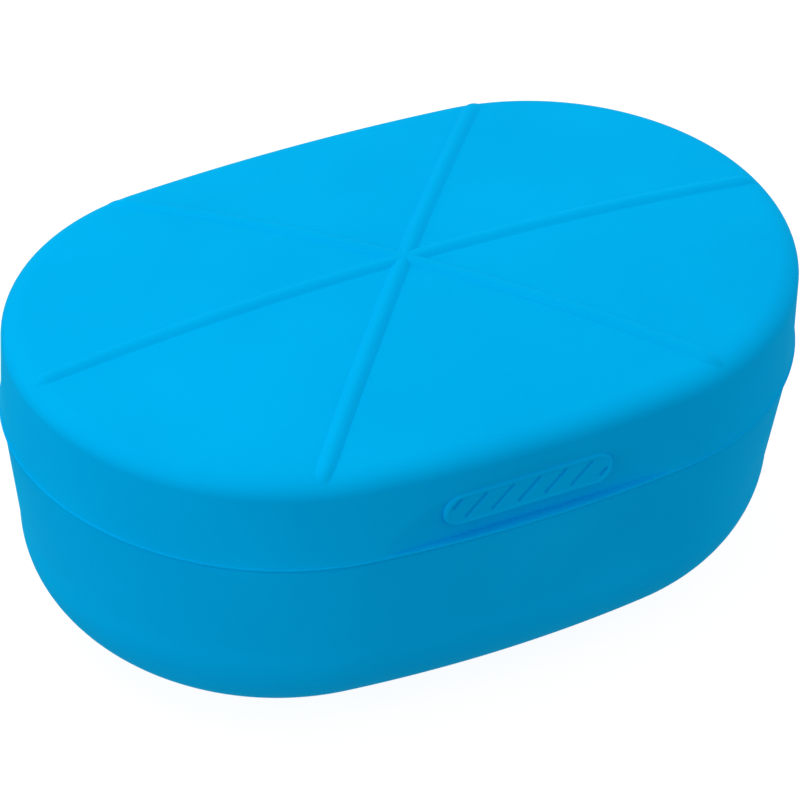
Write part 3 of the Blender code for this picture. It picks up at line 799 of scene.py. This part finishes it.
def base_skin():
    shoulder = PARTING_Z - SEAM
    outer = [(24 * MM, RECESS_Z), (RECESS_OFFSET, RECESS_Z), (RECESS_OFFSET, PAD_DROP)]
    outer += tub(0.0, 24, 0.0)[:-1]
    edge = [(BASE_STEP, shoulder - 0.6 * MM), (BASE_STEP, shoulder), (TONGUE_OUTSET, shoulder)]
    edge += [(TONGUE_OUTSET, TONGUE_TOP), (BASE_STEP + BASE_WALL, TONGUE_TOP)]
    outer += [tuple(p) for p in rounded(edge, 0.22 * MM)]
    inner = list(reversed(tub(BASE_WALL, 12, TONGUE_TOP)))[1:]
    floor_z = inner[-1][1]
    inner.append((24 * MM, floor_z))
    rows = [ring(*s) for s in outer + inner]
    bm = skin(rows, Vector((0, 0, RECESS_Z)), Vector((0, 0, floor_z)))
    made = raw_object("base_skin", bm)
    place = Matrix.Translation((0, -FRONT_WIDTH + TONGUE_OUTSET, LATCH_Z))
    groove = raw_object("latch_groove", brick(LATCH_GROOVE, LATCH_ROUND, place))
    finish(combine(made, [groove]), BLUE, "base", "base_shell", 50)


def grip_pad():
    """The foot under the base, with grooves across it."""
    edge = RECESS_OFFSET + 0.2 * MM
    profile = rounded([(edge, 1.1 * MM), (edge, 0.0), (edge + 4 * MM, 0.0)], 0.35 * MM)
    rows = [ring(o, z, PLAIN) for o, z in profile]
    made = raw_object("grip_pad", skin(rows, Vector((0, 0, 1.1 * MM)), Vector((0, 0, 0))))
    cutters = []
    for i in range(-9, 10):
        place = Matrix.Translation((i * 3.0 * MM, 0, 0))
        cutters.append(raw_object("tread", brick((0.7 * MM, 22 * MM, 0.6 * MM), 0.25 * MM, place)))
    tread = combine(cutters[0], cutters[1:], "UNION")
    finish(combine(made, [tread]), RUBBER, "base", "non_slip_pad")


def rim_seal():
    """The soft ring on top of the tongue, which the liner closes onto."""
    inner, outer = BASE_STEP + BASE_WALL - 0.1 * MM, TONGUE_OUTSET + 0.1 * MM
    low, high = TONGUE_TOP + 0.1 * MM, LINER_BOTTOM - 0.2 * MM
    rows = [ring(o, z, PLAIN) for o, z in soft_section(inner, outer, low, high, 0.35 * MM)]
    finish(raw_object("soft_rim_seal", skin(rows, closed=True)), SILICONE, "base", "rim_seal")


# ---- tray and cup


def polar(angle, distance):
    return distance * math.cos(angle), distance * math.sin(angle)


def post(name, radius, low, high, x=0.0, y=0.0, sides=40):
    return raw_object(name, lathe([(0, high), (radius, high), (radius, low), (0, low)], sides, x, y))


def tray():
    """Six pockets round a socket for the cup, with every edge softened."""
    rows = [ring(o, z, PLAIN) for o, z in tub(TRAY_INSET, 8, TRAY_TOP)]
    floor_z = rows[0][0].z
    made = raw_object("pill_tray", skin(rows, Vector((0, 0, floor_z)), Vector((0, 0, TRAY_TOP))))
    rows = [ring(o, z, PLAIN) for o, z in tub(TRAY_INSET + TRAY_WALL, 8, TRAY_TOP + 3 * MM)]
    ends = [Vector((0, 0, rows[0][0].z)), Vector((0, 0, TRAY_TOP + 3 * MM))]
    pockets = raw_object("pockets", skin(rows, *ends))
    keep = [post("core", SOCKET_RADIUS, -10 * MM, 50 * MM, sides=96)]
    for angle in RIB_ANGLES:
        place = Matrix.Translation((0, 0, 20 * MM)) @ Matrix.Rotation(angle, 4, "Z")
        keep.append(raw_object("wall", brick((100 * MM, TRAY_WALL, 80 * MM), 0.1 * MM, place)))
    for angle in RIB_ANGLES[1:]:
        for x, y in (polar(angle, BOSS_REACH), polar(angle + math.pi, BOSS_REACH)):
            keep.append(post("boss", BOSS_RADIUS, -10 * MM, BOSS_TOP, x, y))
    combine(pockets, keep)
    bore = post("bore", SOCKET_BORE, -10 * MM, 50 * MM, sides=96)
    relief = post("relief", SOCKET_RADIUS + 0.4 * MM, SOCKET_TOP, 50 * MM, sides=96)
    combine(made, [pockets, bore, relief])
    finish(made, WHITE, "base", "tray", 35, bevel=0.28 * MM)


def teeth(z, turn):
    """Six radial crushing teeth."""
    made = []
    for i in range(6):
        angle = turn + math.pi * i / 3
        x, y = polar(angle, TOOTH_START + TOOTH_LENGTH / 2)
        place = Matrix.Translation((x, y, z)) @ Matrix.Rotation(angle, 4, "Z")
        made.append(brick((TOOTH_LENGTH, TOOTH_THICK, TOOTH_THICK), 0.22 * MM, place))
    return made


def cup():
    floor = CUP_FLOOR
    profile = [
        (0, floor),
        (8.0 * MM, floor),
        (9.6 * MM, floor + 0.7 * MM),
        (10.4 * MM, floor + 2.0 * MM),
        (12.0 * MM, CUP_RIM),
        (CUP_FLANGE, CUP_RIM),
        (CUP_FLANGE, CUP_RIM - 0.8 * MM),
        (13.0 * MM, CUP_RIM - 0.8 * MM),
        (11.4 * MM, floor + 1.4 * MM),
        (10.0 * MM, CUP_BOTTOM),
        (0, CUP_BOTTOM),
    ]
    bm = merge([lathe(rounded(profile, 0.5 * MM), 144)] + teeth(floor, math.pi / 6))
    finish(raw_object("steel_cup", bm), STEEL, "base", "crush_cup")


def cup_ring():
    inner, outer = SOCKET_BORE + 0.1 * MM, CUP_FLANGE - 0.2 * MM
    low, high = SOCKET_TOP + 0.1 * MM, CUP_RIM - 0.9 * MM
    bm = lathe(soft_section(inner, outer, low, high, 0.3 * MM), 128)
    finish(raw_object("soft_cup_ring", bm), SILICONE, "base", "cup_ring")


# ---- liner, pestle and screws


def screw_places():
    return [(sx * LINER_SCREW_X, sy * LINER_SCREW_Y) for sx in (-1, 1) for sy in (-1, 1)]


def liner():
    """The white plate that closes the lid, with the sleeve that guides the pestle."""
    profile = [(LINER_OFFSET + 6 * MM, LINER_BOTTOM), (LINER_OFFSET, LINER_BOTTOM), (LINER_OFFSET, LINER_TOP)]
    profile = rounded(profile + [(LINER_OFFSET + 6 * MM, LINER_TOP)], 0.4 * MM)
    rows = [ring(o, z, PLAIN) for o, z in profile]
    made = raw_object("liner_plate", skin(rows, Vector((0, 0, LINER_BOTTOM)), Vector((0, 0, LINER_TOP))))
    combine(made, [post("sleeve", SLEEVE_RADIUS, SLEEVE_BOTTOM, SLEEVE_TOP, sides=72)], "UNION")
    cutters = [post("stem_bore", STEM_BORE, 20 * MM, 40 * MM, sides=6)]
    for x, y in screw_places():
        cutters.append(post("hole", 1.2 * MM, 30 * MM, 34 * MM, x, y))
        cutters.append(post("sink", SINK_RADIUS, 30 * MM, LINER_SEAT, x, y))
    combine(made, cutters)
    finish(made, WHITE, "lid", "lid_liner", 35, bevel=0.2 * MM)


def pestle_head():
    profile = [
        (0, HEAD_TOP),
        (HEAD_RADIUS, HEAD_TOP),
        (HEAD_RADIUS, HEAD_FACE + 2.0 * MM),
        (HEAD_RADIUS - 1.2 * MM, HEAD_FACE),
        (0, HEAD_FACE),
    ]
    bm = merge([lathe(rounded(profile, 0.6 * MM), 128)] + teeth(HEAD_FACE, 0.0))
    finish(raw_object("toothed_head", bm), STEEL, "pestle", "pestle_head")


SPRING_GAP = 0.1 * MM
SPRING_END_TURNS = 0.7
SPRING_STEPS = 48
SPRING_SIDES = 12


def spring():
    """The coil between the head and the liner, with closed ends."""
    low = HEAD_TOP + SPRING_GAP + SPRING_WIRE
    high = LINER_BOTTOM - SPRING_GAP - SPRING_WIRE
    dead = SPRING_END_TURNS
    pitch = 2.1 * SPRING_WIRE
    rows = []
    for i in range(SPRING_STEPS * SPRING_TURNS + 1):
        turns = i / SPRING_STEPS
        free = min(1.0, max(0.0, (turns - dead) / (SPRING_TURNS - 2 * dead)))
        z = low + pitch * min(turns, dead) + pitch * max(0.0, turns - SPRING_TURNS + dead)
        z += (high - low - 2 * dead * pitch) * free
        angle = 2 * math.pi * turns
        out = Vector((math.cos(angle), math.sin(angle), 0))
        row = []
        for k in range(SPRING_SIDES):
            a = 2 * math.pi * k / SPRING_SIDES
            side = out * (SPRING_RADIUS + SPRING_WIRE * math.cos(a))
            row.append(side + Vector((0, 0, z + SPRING_WIRE * math.sin(a))))
        rows.append(row)
    ends = [sum(row, Vector()) / SPRING_SIDES for row in (rows[0], rows[-1])]
    made = finish(raw_object("coil_spring", skin(rows, *ends)), STEEL, "lid", "pestle_spring", 60)
    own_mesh(made)


def liner_screws():
    """Pan-head screws with a cross recess, heads down in the liner's sinks."""
    seat = LINER_SEAT - 0.1 * MM
    for number, (x, y) in enumerate(screw_places()):
        profile = [(0, seat + 5.6 * MM), (0.6 * MM, seat + 5.6 * MM), (0.85 * MM, seat + 5.0 * MM)]
        profile += [(0.85 * MM, seat), (1.9 * MM, seat), (1.9 * MM, seat - 0.35 * MM)]
        profile += [(1.3 * MM, seat - 0.75 * MM), (0, seat - 0.8 * MM)]
        made = raw_object(f"cross_screw_{number + 1}", lathe(rounded(profile, 0.2 * MM), 48, x, y))
        cross = []
        for turn in (0.3, 0.3 + math.pi / 2):
            place = Matrix.Translation((x, y, seat - 0.8 * MM)) @ Matrix.Rotation(turn, 4, "Z")
            cross.append(raw_object("cross", brick((2.0 * MM, 0.42 * MM, 0.9 * MM), 0.08 * MM, place)))
        finish(combine(made, cross), STEEL, "lid", f"liner_screw_{number + 1}")


def kept_nodes():
    """CAD nodes whose shape is right keep it, with their real material and softened edges."""
    looks = {"hinge_pin": STEEL, "retaining_clip": STEEL, "pestle_stem": WHITE}
    looks.update({f"tray_screw_{i + 1}": STEEL for i in range(4)})
    for node, material in looks.items():
        made = frame["nodes"][node]
        for slot in made.material_slots:
            slot.material = material
        modifier = made.modifiers.new("edges", "BEVEL")
        modifier.width = 0.12 * MM
        modifier.segments = 2
        modifier.limit_method = "ANGLE"
        modifier.angle_limit = math.radians(50)


lid_skin()
for number, angle in enumerate(RIB_ANGLES):
    rib(f"lid_rib_{number + 1}", angle)
thumb_pad()
latch_bead()
knuckles()
base_skin()
grip_pad()
rim_seal()
tray()
cup()
cup_ring()
liner()
pestle_head()
spring()
liner_screws()
kept_nodes()


# ---- stage, lights and camera


def area(name, place, aim, size, power, colour=(1, 1, 1)):
    light = bpy.data.lights.new(name, "AREA")
    light.shape = "DISK"
    light.size = size
    light.energy = power
    light.color = colour
    made = bpy.data.objects.new(name, light)
    made.location = place
    made.rotation_mode = "QUATERNION"
    made.rotation_quaternion = (Vector(aim) - Vector(place)).to_track_quat("-Z", "Y")
    bpy.context.scene.collection.objects.link(made)
    return made


FLOOR_GREY = 0.18
FLOOR_GLOW = 0.92
SKY_BELOW = 0.42
SKY_ABOVE = 0.62
SKY_SPAN = (-0.6, 0.1)


def stage():
    """A pale floor that glows a little, and an even sky that is dimmer from below."""
    bm = bmesh.new()
    bmesh.ops.create_grid(bm, x_segments=1, y_segments=1, size=3.0)
    mesh = bpy.data.meshes.new("floor")
    bm.to_mesh(mesh)
    bm.free()
    made = bpy.data.objects.new("floor", mesh)
    bpy.context.scene.collection.objects.link(made)
    material, tree, shader = new_material("pale_floor")
    shader.inputs["Base Color"].default_value = (FLOOR_GREY, FLOOR_GREY, FLOOR_GREY, 1)
    shader.inputs["Roughness"].default_value = 1.0
    shader.inputs["Specular IOR Level"].default_value = 0.0
    shader.inputs["Emission Color"].default_value = (1, 1, 1, 1)
    shader.inputs["Emission Strength"].default_value = FLOOR_GLOW
    mesh.materials.append(material)
    made.visible_diffuse = False
    made.visible_glossy = False
    world = bpy.data.worlds.new("studio")
    world.use_nodes = True
    tree = world.node_tree
    split = tree.nodes.new("ShaderNodeSeparateXYZ")
    tree.links.new(tree.nodes.new("ShaderNodeTexCoord").outputs["Generated"], split.inputs["Vector"])
    light = ramp(tree, split.outputs["Z"], SKY_BELOW, SKY_ABOVE, SKY_SPAN)
    tree.links.new(light, tree.nodes["Background"].inputs["Strength"])
    tree.nodes["Background"].inputs["Color"].default_value = (1, 1, 1, 1)
    bpy.context.scene.world = world


CAMERA_AZIMUTH = math.radians(-29.06)
CAMERA_ELEVATION = math.radians(37.61)
CAMERA_ROLL = math.radians(2.44)
CAMERA_DISTANCE = 753.5 * MM
CAMERA_LENS = 279.45
CAMERA_AIM = Vector((0.853, 1.051, 21.730)) * MM


def camera():
    data = bpy.data.cameras.new("camera")
    data.lens = CAMERA_LENS
    data.sensor_width = 36.0
    data.clip_start = 0.01
    data.clip_end = 20.0
    made = bpy.data.objects.new("camera", data)
    a, e = CAMERA_AZIMUTH, CAMERA_ELEVATION
    back = Vector((math.sin(a) * math.cos(e), -math.cos(a) * math.cos(e), math.sin(e)))
    made.location = CAMERA_AIM + back * CAMERA_DISTANCE
    made.rotation_mode = "QUATERNION"
    turn = (-back).to_track_quat("-Z", "Y")
    made.rotation_quaternion = turn @ Matrix.Rotation(CAMERA_ROLL, 3, "Z").to_quaternion()
    bpy.context.scene.collection.objects.link(made)
    bpy.context.scene.camera = made


stage()
camera()
LIGHT_AIM = (0, 0, 0.02)
area("top_softbox", (-0.20, 0.30, 0.85), LIGHT_AIM, 0.9, 3.6, (1.0, 1.0, 0.86))
area("left_softbox", (-0.95, -0.10, 0.35), LIGHT_AIM, 0.7, 2.4)
area("right_softbox", (0.95, 0.10, 0.25), LIGHT_AIM, 0.7, 1.4)
bpy.context.scene.view_settings.view_transform = "Standard"
